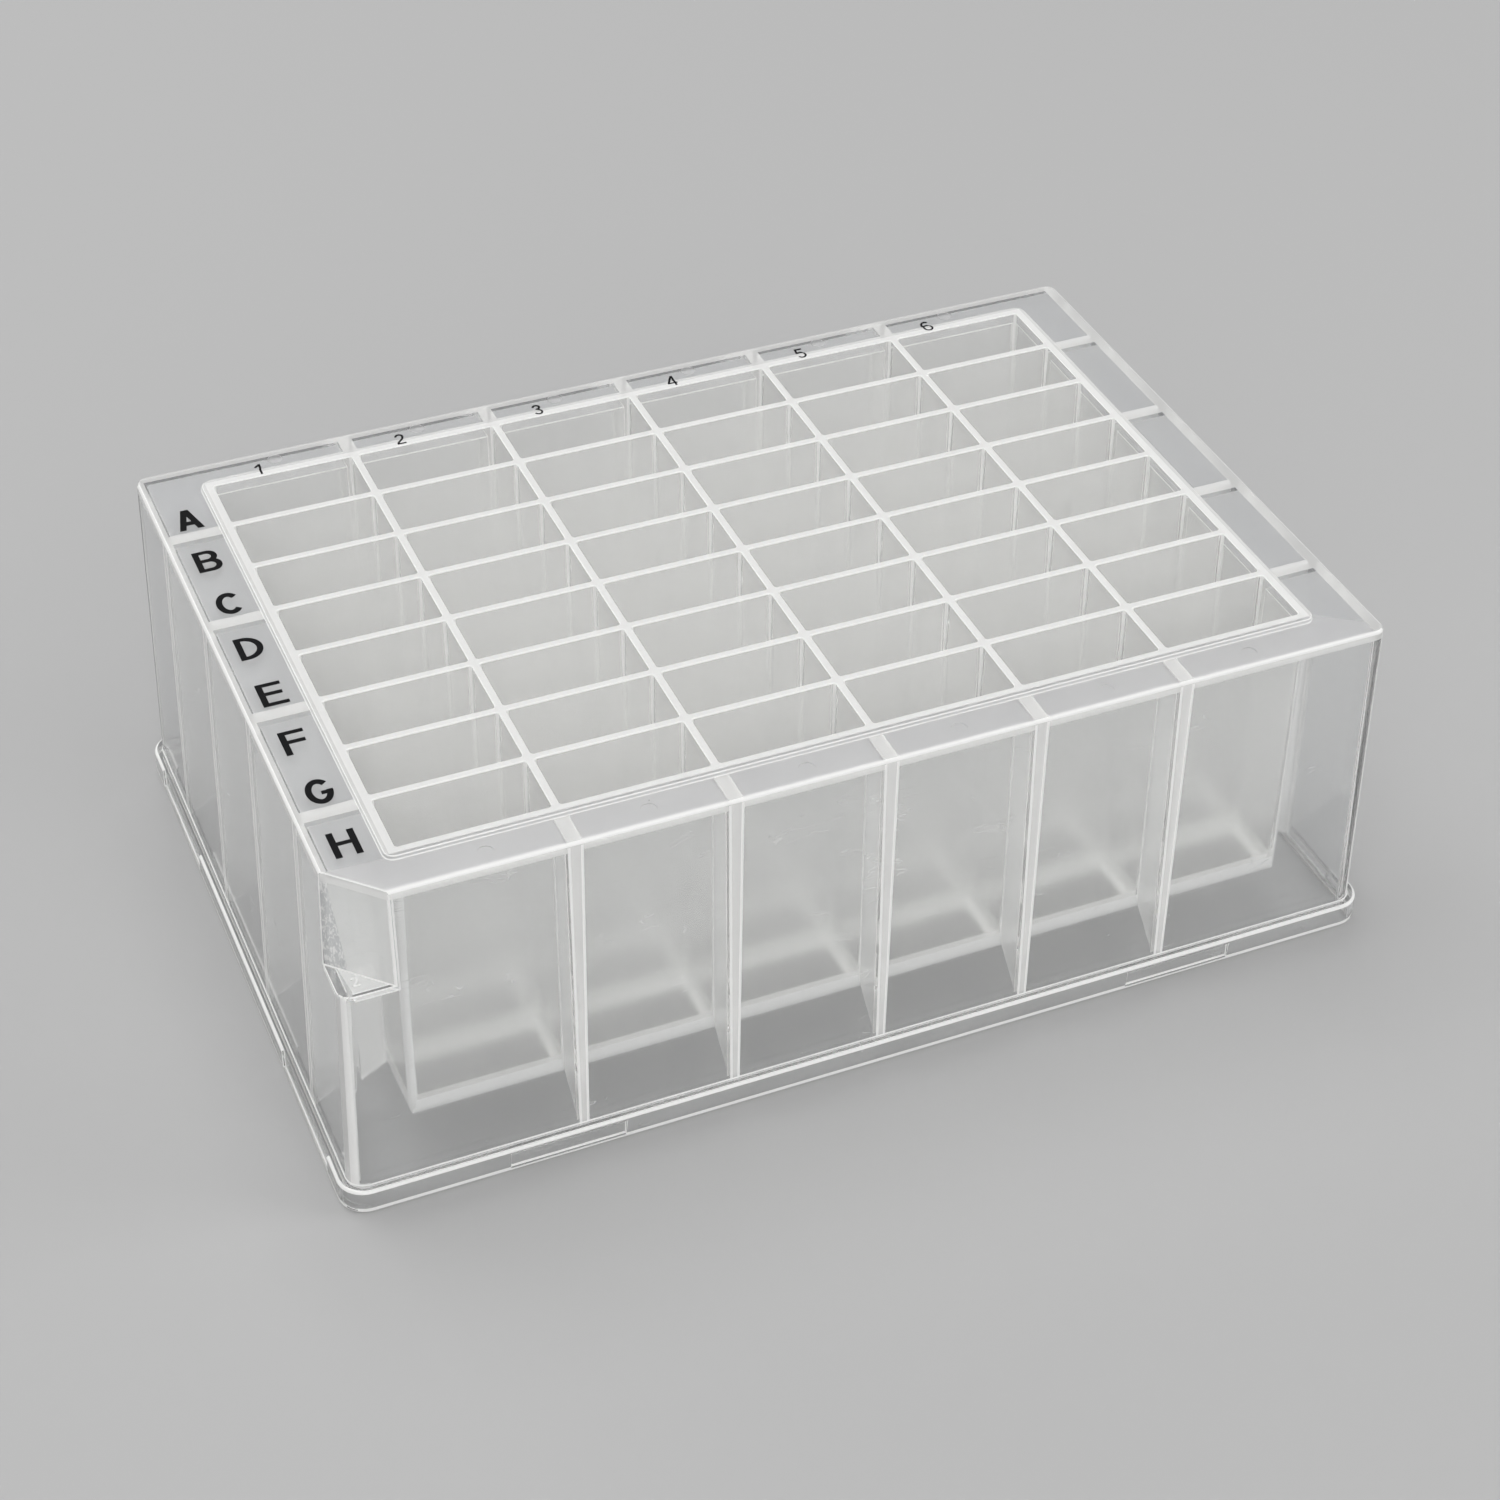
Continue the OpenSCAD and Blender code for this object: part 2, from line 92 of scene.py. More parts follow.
# %% A socket that can be added and multiplied
class Wire:
    def __init__(self, tree, socket=None):
        self.tree = tree
        self.socket = socket

    def plug(self, value, target):
        if isinstance(value, Wire):
            self.tree.links.new(value.socket, target)
        else:
            target.default_value = value

    def node(self, node_type, settings=None, values=None, output=0):
        """Adds any node. settings are its properties, values its inputs by name or number."""
        made = self.tree.nodes.new(node_type)
        for name, value in (settings or {}).items():
            setattr(made, name, value)
        for name, value in (values or {}).items():
            self.plug(value, made.inputs[name])
        return Wire(self.tree, made.outputs[output]) if made.outputs else None

    def other(self, output):
        """Another output of the same node."""
        return Wire(self.tree, self.socket.node.outputs[output])

    def sum_up(self, operation, first, second):
        kinds = [v.socket.type for v in (first, second) if isinstance(v, Wire)]
        if "RGBA" in kinds:
            return self.blend(operation, first, second)
        if "VECTOR" in kinds or isinstance(first, tuple) or isinstance(second, tuple):
            first, second = self.as_vector(first), self.as_vector(second)
            settings = {"operation": operation}
            return self.node("ShaderNodeVectorMath", settings, {0: first, 1: second})
        return self.node("ShaderNodeMath", {"operation": operation}, {0: first, 1: second})

    def as_vector(self, value):
        if isinstance(value, (int, float)):
            return (value, value, value)
        return value

    def as_colour(self, value):
        if isinstance(value, (int, float)):
            return (value, value, value, 1)
        if isinstance(value, tuple) and len(value) == 3:
            return (*value, 1)
        return value

    def blend(self, mode, first, second, amount=1.0):
        """Mixes two colours."""
        settings = {"data_type": "RGBA", "blend_type": mode}
        values = {0: amount, 6: self.as_colour(first), 7: self.as_colour(second)}
        return self.node("ShaderNodeMix", settings, values, 2)

    def __add__(self, value):
        return self.sum_up("ADD", self, value)

    def __radd__(self, value):
        return self.sum_up("ADD", value, self)

    def __sub__(self, value):
        return self.sum_up("SUBTRACT", self, value)

    def __rsub__(self, value):
        return self.sum_up("SUBTRACT", value, self)

    def __mul__(self, value):
        return self.sum_up("MULTIPLY", self, value)

    def __rmul__(self, value):
        return self.sum_up("MULTIPLY", value, self)

    def ramp(self, start, end, low_value=0.0, high_value=1.0):
        """Goes smoothly from low_value to high_value while this goes from start to end."""
        settings = {"interpolation_type": "SMOOTHSTEP"}
        values = {"Value": self, "From Min": start, "From Max": end}
        values.update({"To Min": low_value, "To Max": high_value})
        return self.node("ShaderNodeMapRange", settings, values)


def noise(wire, place, scale, detail=2.0):
    values = {"Vector": place, "Scale": scale, "Detail": detail}
    return wire.node("ShaderNodeTexNoise", {}, values)


reflected = [name for name in ("__radd__", "__rsub__", "__rmul__") if hasattr(Wire, name)]
print("operators that also work from the right:", reflected)

# %% [markdown]
# ## The plastic
# Natural polypropylene is neither glass nor white: light goes through it, but a little of it is
# scattered at each wall, so one wall looks clear, ten walls look milky, and a wall seen along its
# edge looks white. A true volume that scatters light would show this by itself, but it is slow and
# noisy in walls as thin as these. Each surface is therefore glass with some white mixed in. Lamps
# shine straight through by a share of their light, so that it reaches the bottom of the wells. The
# block and the wells are milkier near the deck and clearer near the foot: the paler top is painted,
# and stands in for the light scattered in the many walls seen through there from above.

# %% One recipe for every face of the moulding
PLASTIC_IOR = 1.49
CLEAR_BELOW = 6 * MM
MILKY_ABOVE = 26 * MM
CHALK = (0.95, 0.95, 0.94, 1)
CHALK_ROUGHNESS = 0.5
finish_names = []


def natural_plastic(name, clear, lamp_share, pattern, clear_foot=None):
    """clear is the share of glass, lamp_share what one surface passes of a lamp's light, and
    pattern(wire, place) gives base colour, roughness, height and, if it likes, a mask of chalky
    marks. clear_foot is the share of glass near the bottom, if it differs."""
    material = bpy.data.materials.new(name)
    material.use_nodes = True
    tree = material.node_tree
    tree.nodes.clear()
    start = Wire(tree)
    place = start.node("ShaderNodeTexCoord", output="Object")
    tint, roughness, height, *marks = pattern(start, place)
    bump_values = {"Strength": 1.0, "Distance": MM, "Height": height}
    normal = start.node("ShaderNodeBump", {}, bump_values)
    plastic_values = {
        "Base Color": tint,
        "Roughness": roughness,
        "IOR": PLASTIC_IOR,
        "Transmission Weight": clear,
        "Normal": normal,
    }
    plastic = start.node("ShaderNodeBsdfPrincipled", {}, plastic_values)
    if clear_foot is not None:
        plastic_values["Transmission Weight"] = clear_foot
        clearer = start.node("ShaderNodeBsdfPrincipled", {}, plastic_values)
        # Higher up, the mix leans to the milkier plastic: a painted paleness for the light
        # scattered in the walls seen through there.
        height_up = start.node("ShaderNodeSeparateXYZ", {}, {0: place}, 2)
        upper = height_up.ramp(CLEAR_BELOW, MILKY_ABOVE)
        plastic = start.node("ShaderNodeMixShader", {}, {0: upper, 1: clearer, 2: plastic})
    if marks:
        chalk_values = {"Base Color": CHALK, "Roughness": CHALK_ROUGHNESS, "IOR": PLASTIC_IOR}
        chalk = start.node("ShaderNodeBsdfPrincipled", {}, chalk_values)
        plastic = start.node("ShaderNodeMixShader", {}, {0: marks[0], 1: plastic, 2: chalk})
    open_colour = (lamp_share, lamp_share, lamp_share, 1)
    opened = start.node("ShaderNodeBsdfTransparent", {}, {"Color": open_colour})
    for_lamps = start.node("ShaderNodeLightPath", output="Is Shadow Ray")
    surface = start.node("ShaderNodeMixShader", {}, {0: for_lamps, 1: plastic, 2: opened})
    start.node("ShaderNodeOutputMaterial", {"target": "ALL"}, {"Surface": surface})
    finish_names.append(name)
    return material


print("recipe ready, index of refraction", PLASTIC_IOR)

# %% [markdown]
# ## Small marks
# Clear plastic looks real when its surface can be seen: fine upright streaks from the mould, a
# few dust specks, pale and dark, and hairline scratches. Each is a mask made from noise or from
# cells, at its real size in metres, because a picture of scratches would repeat and stretch.

# %% Streaks, specks, dust and hairlines
def flow_lines(wire, place, across, along):
    """Fine upright streaks: noise that is squeezed across and stretched along the wall."""
    stretched = place * (across, across, along)
    return noise(wire, stretched, 1.0, 1.5)


def scattered(wire, place, per_metre):
    """Points scattered through space. Gives how far the nearest is, in steps between points."""
    values = {"Vector": place, "Scale": per_metre, "Randomness": 1.0}
    return wire.node("ShaderNodeTexVoronoi", {"feature": "F1"}, values)


DARK_PER_METRE = 170
DARK_TINT = (0.30, 0.30, 0.30)
DARK_SHARE = 0.75
PALE_PER_METRE = 260


def specks(wire, place):
    """1 in dark specks a fifth of a millimetre across, about one to ten square centimetres."""
    return scattered(wire, place, DARK_PER_METRE).ramp(0.012, 0.022, 1.0, 0.0)


def soiled(wire, place, tint):
    return wire.blend("MIX", tint, DARK_TINT, DARK_SHARE * specks(wire, place))


def dust(wire, place):
    """1 in pale specks of the same size, one or two to ten square centimetres."""
    nearest = scattered(wire, place, PALE_PER_METRE)
    chosen = wire.node("ShaderNodeSeparateColor", {}, {0: nearest.other("Color")})
    return nearest.ramp(0.016, 0.03, 1.0, 0.0) * chosen.ramp(0.55, 0.6)


def hairlines(wire, place):
    """1 along fine scratches: thin contour lines of a stretched noise, here and there."""
    lines = noise(wire, place * (60, 60, 240), 1.0, 3.0)
    off = lines - 0.5
    away = off.node("ShaderNodeMath", {"operation": "ABSOLUTE"}, {0: off})
    return away.ramp(0.0008, 0.0024, 1.0, 0.0) * noise(wire, place, 160, 2.0).ramp(0.55, 0.68)


print("marks ready")


# %% [markdown]
# ## One pattern for each part of the mould
# The skirt's outside comes from a polished mould and is glossy. The deck is a little hazy, the
# wells are drawn off long cores and carry upright drag marks, and edges are painted nearly white as
# highlights. Each pattern says so with its own colour range, roughness and height. The numbers
# behind noise are its size: 1500 means about two grains to the millimetre.

# %% Patterns
def skirt_pattern(wire, place):
    streaks = flow_lines(wire, place, 1600, 25)
    cloud = noise(wire, place, 60, 3.0)
    mixed = 0.5 * cloud + 0.5 * streaks
    tint = wire.blend("MIX", (0.90, 0.906, 0.912), (0.97, 0.972, 0.972), mixed)
    roughness = 0.05 + 0.05 * streaks
    height = 0.0016 * streaks + 0.003 * noise(wire, place, 45, 1.0)
    marks = 0.75 * dust(wire, place) + 0.4 * hairlines(wire, place)
    return soiled(wire, place, tint), roughness, height, marks


def deck_pattern(wire, place):
    cloud = noise(wire, place, 90, 2.0)
    tint = wire.blend("MIX", (0.78, 0.78, 0.79), (0.84, 0.84, 0.845), cloud)
    return soiled(wire, place, tint), 0.30 + 0.06 * cloud, 0.001 * noise(wire, place, 120, 1.0)


def well_pattern(wire, place):
    grain = noise(wire, place, 1500, 1.0)
    drag = flow_lines(wire, place, 500, 12)
    tint = wire.blend("MIX", (0.89, 0.89, 0.885), (0.94, 0.94, 0.93), drag)
    return soiled(wire, place, tint), 0.09 + 0.04 * grain, 0.0015 * drag


def block_pattern(wire, place):
    grain = noise(wire, place, 1500, 1.0)
    tint = wire.blend("MIX", (0.88, 0.88, 0.87), (0.93, 0.93, 0.92), grain)
    return soiled(wire, place, tint), 0.21 + 0.04 * grain, 0.0005 * grain


WRINKLES_FROM_Y = 35.6 * MM


def painted_highlight_pattern(wire, place):
    """Nearly white, a painted highlight for edges and for walls seen through their height or edge
    on. On the rim's back edge the shrinking plastic has drawn wrinkles.
    """
    grain = noise(wire, place, 2600, 2.0)
    tint = wire.blend("MIX", (0.95, 0.95, 0.935), (1.0, 1.0, 0.99), grain)
    parts = wire.node("ShaderNodeSeparateXYZ", {}, {0: place})
    along_back = parts.other("Y").ramp(WRINKLES_FROM_Y, WRINKLES_FROM_Y + 0.2 * MM)
    crumpled = noise(wire, place * (700, 1600, 1), 1.0, 3.0)
    patches = noise(wire, place * (90, 1, 1), 1.0, 1.0).ramp(0.48, 0.62)
    height = 0.002 * grain + 0.035 * crumpled * patches * along_back
    return tint, 0.16 + 0.08 * grain, height


def rib_pattern(wire, place):
    streaks = flow_lines(wire, place, 1500, 30)
    tint = wire.blend("MIX", (0.92, 0.92, 0.91), (0.97, 0.97, 0.96), streaks)
    return tint, 0.07 + 0.06 * streaks, 0.001 * streaks


def clear_deck_pattern(wire, place):
    cloud = noise(wire, place, 90, 2.0)
    tint = wire.blend("MIX", (0.73, 0.74, 0.75), (0.81, 0.82, 0.83), cloud)
    return soiled(wire, place, tint), 0.18 + 0.06 * cloud, 0.001 * noise(wire, place, 120, 1.0)


def notch_pattern(wire, place):
    tint = wire.blend("MIX", (0.90, 0.92, 0.92), (0.97, 0.97, 0.97), noise(wire, place, 300, 2.0))
    return tint, 0.08, 0.002 * noise(wire, place, 300, 2.0)


def torn_pattern(wire, place):
    """Where the mould's core pulled at the notch's outer edge: creased like foil, with painted
    glints and painted shade in the tint.
    """
    warp = noise(wire, place, 700, 2.0) * 2.0
    values = {"Vector": place * (3000, 3000, 1400), "Scale": 1.0, "Detail": 3.0, "Distortion": warp}
    creases = wire.node("ShaderNodeTexNoise", {}, values)
    # The light and dark of the creases' tint are painted glints and painted shade.
    light = creases.ramp(0.47, 0.62)
    tint = wire.blend("MIX", (0.66, 0.67, 0.68), (1.0, 1.0, 0.99), light)
    return tint, 0.12 + 0.15 * creases, 0.05 * creases


print("patterns ready")

# %% [markdown]
# ## The finishes
# The first number is the share of glass, the second what a lamp sends through one surface. Parts
# that stand in the light path of others, such as the block, pass nearly all of it. The floors of
# the wells and the skirt's foot pass little, so that they shade the ground under the plate, and the
# white edges stand out from it. Those edges, and the tops, bands and uprights, are nearly white
# finishes: painted highlights.

# %% Fourteen finishes
skirt = natural_plastic("plastic_skirt", 0.955, 0.82, skirt_pattern)
well_inside = natural_plastic("plastic_well_inside", 0.74, 0.96, well_pattern, 0.90)
block = natural_plastic("plastic_block_outside", 0.77, 0.95, block_pattern, 0.90)
# Tops of walls, painted nearly white as a highlight.
tops_painted_white = natural_plastic("plastic_tops_painted_white", 0.25, 0.42, painted_highlight_pattern)
ribs = natural_plastic("plastic_ribs", 0.40, 0.72, rib_pattern)
# Edges and thick places, painted as white lines: a painted highlight.
painted_edge_highlights = natural_plastic("plastic_painted_edge_highlights", 0.03, 0.60, painted_highlight_pattern)
deck = natural_plastic("plastic_deck", 0.72, 0.50, deck_pattern)
# Bands over walls, painted pale as a highlight.
bands_painted_pale = natural_plastic("plastic_bands_painted_pale", 0.45, 0.50, painted_highlight_pattern)
notch = natural_plastic("plastic_notch", 0.90, 0.75, notch_pattern)
floors = natural_plastic("plastic_floors", 0.92, 0.15, block_pattern)
# Corners and walls seen edge on, painted nearly white as a highlight.
uprights = natural_plastic("plastic_painted_white_uprights", 0.18, 0.90, painted_highlight_pattern)
skirt_foot = natural_plastic("plastic_skirt_foot", 0.955, 0.10, skirt_pattern)
clear_deck = natural_plastic("plastic_clear_deck", 0.80, 0.50, clear_deck_pattern)
torn = natural_plastic("plastic_torn", 0.45, 0.60, torn_pattern)
print("finishes of the moulding:", finish_names)

# %% [markdown]
# ## The moulding with soft edges
# No moulded edge is perfectly sharp: each has a radius of about a tenth of a millimetre, and that
# radius is what catches the light as a bright line. The solid's mesh is copied, its corner points
# are joined, and a bevel rounds the sharp edges whose faces are wide enough for it. The rounded
# faces are also given a nearly white finish, a painted highlight over the light they catch.

# %% A working copy of the plate
EDGE_ROUND = 0.12 * MM
SHARP = math.radians(28)
ROOM_TO_ROUND = 2.6 * EDGE_ROUND
SAME_POINT = 0.002 * MM
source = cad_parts["plate"]
work = bmesh.new()
work.from_mesh(source.data)
bmesh.ops.remove_doubles(work, verts=work.verts, dist=SAME_POINT)
print("faces to start with:", len(work.faces))


def reach(face, edge):
    """How far a face reaches away from one of its edges."""
    start, end = (v.co for v in edge.verts)
    along = (end - start).normalized()
    offs = [v.co - start for v in face.verts]
    return max((off - along * off.dot(along)).length for off in offs)


# %% Which edges are rounded
def takes_round(edge):
    if len(edge.link_faces) != 2:
        return False
    if edge.calc_face_angle(0) < SHARP:
        return False
    return min(reach(face, edge) for face in edge.link_faces) > ROOM_TO_ROUND


edge_mark = work.faces.layers.int.new("edge_round")
sharp_edges = [e for e in work.edges if takes_round(e)]
rounded = bmesh.ops.bevel(
    work, geom=sharp_edges, offset=EDGE_ROUND, segments=2, profile=0.5,
    affect="EDGES", clamp_overlap=False,
)
for face in rounded["faces"]:
    face[edge_mark] = 1
print("edges rounded:", len(sharp_edges), "faces now:", len(work.faces))

# %% [markdown]
# ## Flat faces stay flat
# A curve is made of narrow strips, which are shaded as one smooth surface. A wide flat wall has
# to keep its own flat shading, or the light that it bends would slide about. Triangles that lie
# in one plane are gathered into a patch, and a patch's mean width says which of the two it is.

# %% Gathering patches
CURVED_STRIP = 0.45 * MM
SAME_PLANE = math.radians(0.3)
CREASE = math.radians(50)


def patch_from(first, seen):
    patch = [first]
    seen.add(first)
    area = 0.0
    rim_length = 0.0
    for face in patch:
        area += face.calc_area()
        for edge in face.edges:
            other = [f for f in edge.link_faces if f is not face]
            if not other or face.normal.angle(other[0].normal, 1) > SAME_PLANE:
                rim_length += edge.calc_length()
            elif other[0] not in seen:
                seen.add(other[0])
                patch.append(other[0])
    return patch, 2 * area / max(rim_length, 1e-9)


work.normal_update()
gathered = set()
widths = []
for face in work.faces:
    if face not in gathered:
        patch, width = patch_from(face, gathered)
        widths.append(width)
        for member in patch:
            member.smooth = width < CURVED_STRIP
print("flat patches:", len(widths), "of them narrow:", sum(w < CURVED_STRIP for w in widths))

# %% [markdown]
# ## Which face has which finish
# A mould has different finishes in different places: its cores leave a fine grain inside the wells,
# while the skirt's outside is almost polished. Other finishes are painted highlights: nearly white
# on edges, on the tops of walls and where walls are seen edge on. Each face is sorted by where it
# lies and which way it looks, with the same heights and widths that the plate was drawn with.

# %% Heights and widths of the plate's parts
RIM_TOP = high.z
DECK = RIM_TOP - 0.5 * MM
DECK_UNDER = DECK - 1.2 * MM
WELL_FLOOR = RIM_TOP - 36.9 * MM
BLOCK_BOTTOM = WELL_FLOOR - 1.6 * MM
FLANGE_TOP = 3.2 * MM
COLUMN_STEP = 18 * MM
ROW_STEP = 9 * MM
COLUMNS = [(i - 2.5) * COLUMN_STEP for i in range(6)]
ROWS = [(3.5 - i) * ROW_STEP for i in range(8)]
WALL = 0.9 * MM
NEAR = 0.3 * MM
SLACK = 0.1 * MM
TIGHT = 0.02 * MM
EDGE_ZONE = 0.6 * MM
UPWARDS = 0.95
BLOCK_X = 3 * COLUMN_STEP + WALL / 2
BLOCK_Y = 4 * ROW_STEP + WALL / 2
DECK_X = size.x / 2 - 2.05 * MM
DECK_Y = size.y / 2 - 1.35 * MM
LEFT_BORDER = 0.8 * MM
RIGHT_BORDER = 1.7 * MM
BACK_BORDER = 1.4 * MM
RIB_HALF = 0.875 * MM
NOTCH_SIDE_X = low.x + 2.05 * MM
NOTCH_SIDE_Y = low.y + 1.35 * MM
NOTCH_REACH = 5.8 * MM
NOTCH_LEDGE = DECK - 12.9 * MM
TORN_AT_TOP = 0.6 * MM
TORN_AT_LEDGE = 1.8 * MM
TORN_LEAN = (TORN_AT_LEDGE - TORN_AT_TOP) / (DECK_UNDER - NOTCH_LEDGE)
COLUMN_RIBS = [x + COLUMN_STEP / 2 for x in COLUMNS[:-1]]
ROW_RIBS = [y - ROW_STEP / 2 for y in ROWS[::2]]
print("ribs between columns at", [round(x / MM) for x in COLUMN_RIBS])
print("ribs between rows at", [round(y / MM) for y in ROW_RIBS])

# %% [markdown]
# ## Walls seen from above
# Looking down on a standing wall, the eye looks through its whole height of milky plastic, so the
# top of each wall, rib and skirt looks nearly white, while the deck between them is clear. That
# whiteness is painted on the tops, as a highlight. The deck's faces are cut along the walls that
# stand under it, so that each can have its own finish.
# A mask in the shader could do the same, but a cut gives a crisp border and costs no nodes.
# Bisecting only splits faces, so the shape stays as it is.

# %% Cutting the deck along the walls under it
SNAP = 0.005 * MM


def cut(at, across, wanted):
    """Splits the wanted faces along the plane through a point and square to a direction."""
    faces = [f for f in work.faces if wanted(f)]
    edges = {e for f in faces for e in f.edges}
    points = {v for f in faces for v in f.verts}
    bmesh.ops.bisect_plane(
        work, geom=[*faces, *edges, *points], dist=SNAP, plane_co=at, plane_no=across
    )


def facing_up(face):
    return face.normal.z > UPWARDS


def on_deck(face):
    return facing_up(face) and abs(face.calc_center_median().z - DECK) < 0.05 * MM


def on_rim(face):
    return facing_up(face) and abs(face.calc_center_median().z - RIM_TOP) < TIGHT


def in_notch(face):
    """The cut corner's wall, its ledge and the numeral on it."""
    point = face.calc_center_median()
    corner = point.x < NOTCH_SIDE_X + NOTCH_REACH and point.y < NOTCH_SIDE_Y + NOTCH_REACH
    wall = face.normal.x < -0.6 and face.normal.y < -0.6 and abs(face.normal.z) < 0.1
    ledge = facing_up(face) and abs(point.z - NOTCH_LEDGE) < NEAR
    return corner and point.z > NOTCH_LEDGE - NEAR and (wall or ledge)


for x in COLUMN_RIBS:
    for side in (-1, 1):
        cut((x + side * RIB_HALF, 0, 0), (1, 0, 0), on_deck)
for y in ROW_RIBS:
    for side in (-1, 1):
        cut((0, y + side * RIB_HALF, 0), (0, 1, 0), on_deck)
cut((0, DECK_Y - BACK_BORDER, 0), (0, 1, 0), on_deck)
cut((LEFT_BORDER - DECK_X, 0, 0), (1, 0, 0), on_deck)
cut((DECK_X - RIGHT_BORDER, 0, 0), (1, 0, 0), on_deck)
for side in (-1, 1):
    cut((side * BLOCK_X, 0, 0), (1, 0, 0), on_rim)
    cut((0, side * BLOCK_Y, 0), (0, 1, 0), on_rim)
cut((NOTCH_SIDE_X + TORN_AT_LEDGE, 0, NOTCH_LEDGE), (1, 0, TORN_LEAN), in_notch)
cut((0, 0, DECK_UNDER), (0, 0, 1), in_notch)
print("faces after the cuts:", len(work.faces))

# %% [markdown]
# ## Painted pale lines where ribs meet the skirt
# Behind the skirt each rib joins it with two small fillets. The plastic is thicker there and looks
# paler through the skirt, so two pale lines are painted up the outside of the skirt as highlights,
# closer together at the foot, where the rib is thin. The same holds for the thick places of the
# block: at its corners, its webs and beside the solid floors of the wells its faces are painted
# pale, as highlights for what shows through the skirt as pale bands, one behind the other.

# %% Cutting the skirt along the ribs behind it
RIB_FOOT_HALF = 0.575 * MM
PALE_LINE = 0.3 * MM
RIB_FOOT_Z = 2.6 * MM
RISE = DECK_UNDER - RIB_FOOT_Z
SHADED_FOOT = 10 * MM
FOOT_LINE = 0.75 * MM
BLOCK_WALL = 0.9 * MM
WEB_HALF = 0.5 * MM
WEBS = [2 * ROW_STEP * step for step in (-1, 0, 1)]
SKIRT_ZONE = 1.3 * MM
WELL_INSET = 0.4 * MM
UPRIGHT = 0.1
PALE_FOOT_TOP = BLOCK_BOTTOM + 3.3 * MM
WELL_FOOT_TOP = WELL_FLOOR + 2.0 * MM


def rib_half_at(z):
    """Half a rib's thickness at height z."""
    share = (z - RIB_FOOT_Z) / RISE
    return RIB_FOOT_HALF + (RIB_HALF - RIB_FOOT_HALF) * share


def on_skirt(face, axis):
    point = face.calc_center_median()
    outer = (DECK_X if axis == 0 else DECK_Y) - NEAR
    upright = FLANGE_TOP < point.z < DECK_UNDER + EDGE_ZONE
    return upright and abs(point[axis]) > outer and abs(face.normal[axis]) > 0.98


def cut_beside(place, axis):
    """Four slanted cuts, along both sides of the rib at this place."""
    for side in (-1, 1):
        for inset in (0, PALE_LINE):
            at = [0, 0, RIB_FOOT_Z]
            at[1 - axis] = place + side * (RIB_FOOT_HALF - inset)
            lean = side * (RIB_HALF - RIB_FOOT_HALF) / RISE
            across = [0, 0, -lean]
            across[1 - axis] = 1
            cut(at, across, lambda face: on_skirt(face, axis))


def within(point, half_x, half_y):
    """True in the rectangle of these half widths round the middle of the plate."""
    return abs(point.x) < half_x and abs(point.y) < half_y


def on_skirt_at_all(face):
    point = face.calc_center_median()
    outer = not within(point, DECK_X - SKIRT_ZONE, DECK_Y - SKIRT_ZONE)
    return outer and abs(face.normal.z) < UPRIGHT


def on_block_outside(face):
    point = face.calc_center_median()
    beside = abs(abs(point.x) - BLOCK_X) < NEAR or abs(abs(point.y) - BLOCK_Y) < NEAR
    return beside and abs(face.normal.z) < UPRIGHT and BLOCK_BOTTOM < point.z < DECK_UNDER


def on_foot_wall(face):
    """The block's outer walls, down to the rounded feet."""
    point = face.calc_center_median()
    upright = abs(face.normal.z) < UPRIGHT and BLOCK_BOTTOM < point.z < DECK_UNDER
    for axis, outside in ((0, BLOCK_X), (1, BLOCK_Y)):
        looks_out = face.normal[axis] * point[axis] > 0.9 * abs(point[axis])
        if looks_out and 0 < outside - abs(point[axis]) < BLOCK_WALL:
            return upright
    return False


def in_well(face):
    """The upright walls inside the wells."""
    point = face.calc_center_median()
    inside = within(point, BLOCK_X - WELL_INSET, BLOCK_Y - WELL_INSET)
    return inside and point.z > WELL_FLOOR and abs(face.normal.z) < 0.3


def on_flange_side(face):
    point = face.calc_center_median()
    outer = not within(point, high.x - EDGE_ZONE, high.y - EDGE_ZONE)
    return outer and point.z < FLANGE_TOP and abs(face.normal.z) < 0.5


def cut_level(z, wanted):
    cut((0, 0, z), (0, 0, 1), wanted)


cut_level(FOOT_LINE, on_flange_side)
cut_level(SHADED_FOOT, on_skirt_at_all)
for side in (-1, 1):
    cut((side * (BLOCK_X - BLOCK_WALL), 0, 0), (1, 0, 0), on_block_outside)
    cut((0, side * (BLOCK_Y - BLOCK_WALL), 0), (0, 1, 0), on_block_outside)
cut_level(PALE_FOOT_TOP, on_foot_wall)
cut_level(WELL_FOOT_TOP, in_well)
cut_level(DECK_UNDER, on_skirt_at_all)
for y in WEBS:
    for side in (-1, 1):
        cut((0, y + side * WEB_HALF, 0), (0, 1, 0), on_block_outside)
for x in COLUMN_RIBS:
    cut_beside(x, 1)
for y in ROW_RIBS:
    cut_beside(y, 0)
print("faces after the cuts in the skirt:", len(work.faces))


def rib_behind(face, point):
    """Says whether a rib's fillet or its middle stands behind this face of the skirt."""
    for axis, ribs_at in ((1, COLUMN_RIBS), (0, ROW_RIBS)):
        if on_skirt(face, axis):
            half = rib_half_at(point.z)
            off = min(abs(point[1 - axis] - place) for place in ribs_at)
            if off < half:
                return "line" if off > half - PALE_LINE else "rib"
    return None


# %% [markdown]
# ## Sorting
# The sorting goes from the plain cases to the rest: rounded edges first, then the cut corner, the
# top, the wells, the block, the ribs, and last the skirt. Each case gives the short name of a
# finish. A dictionary holds the finishes under these names, and a face keeps only the number of
# its finish's place in it.

# %% Short names, and places that the cases ask about
# edge, line, band and upright are nearly white finishes: painted highlights.
FINISHES = {
    "skirt": skirt, "well": well_inside, "block": block, "edge": tops_painted_white, "rib": ribs,
    "line": painted_edge_highlights, "deck": deck, "band": bands_painted_pale, "notch": notch, "floor": floors,
    "upright": uprights, "skirt_foot": skirt_foot, "clear_deck": clear_deck, "torn": torn,
}
SLOT = {name: number for number, name in enumerate(FINISHES)}


def near_any(value, places, half):
    return any(abs(value - place) < half for place in places)


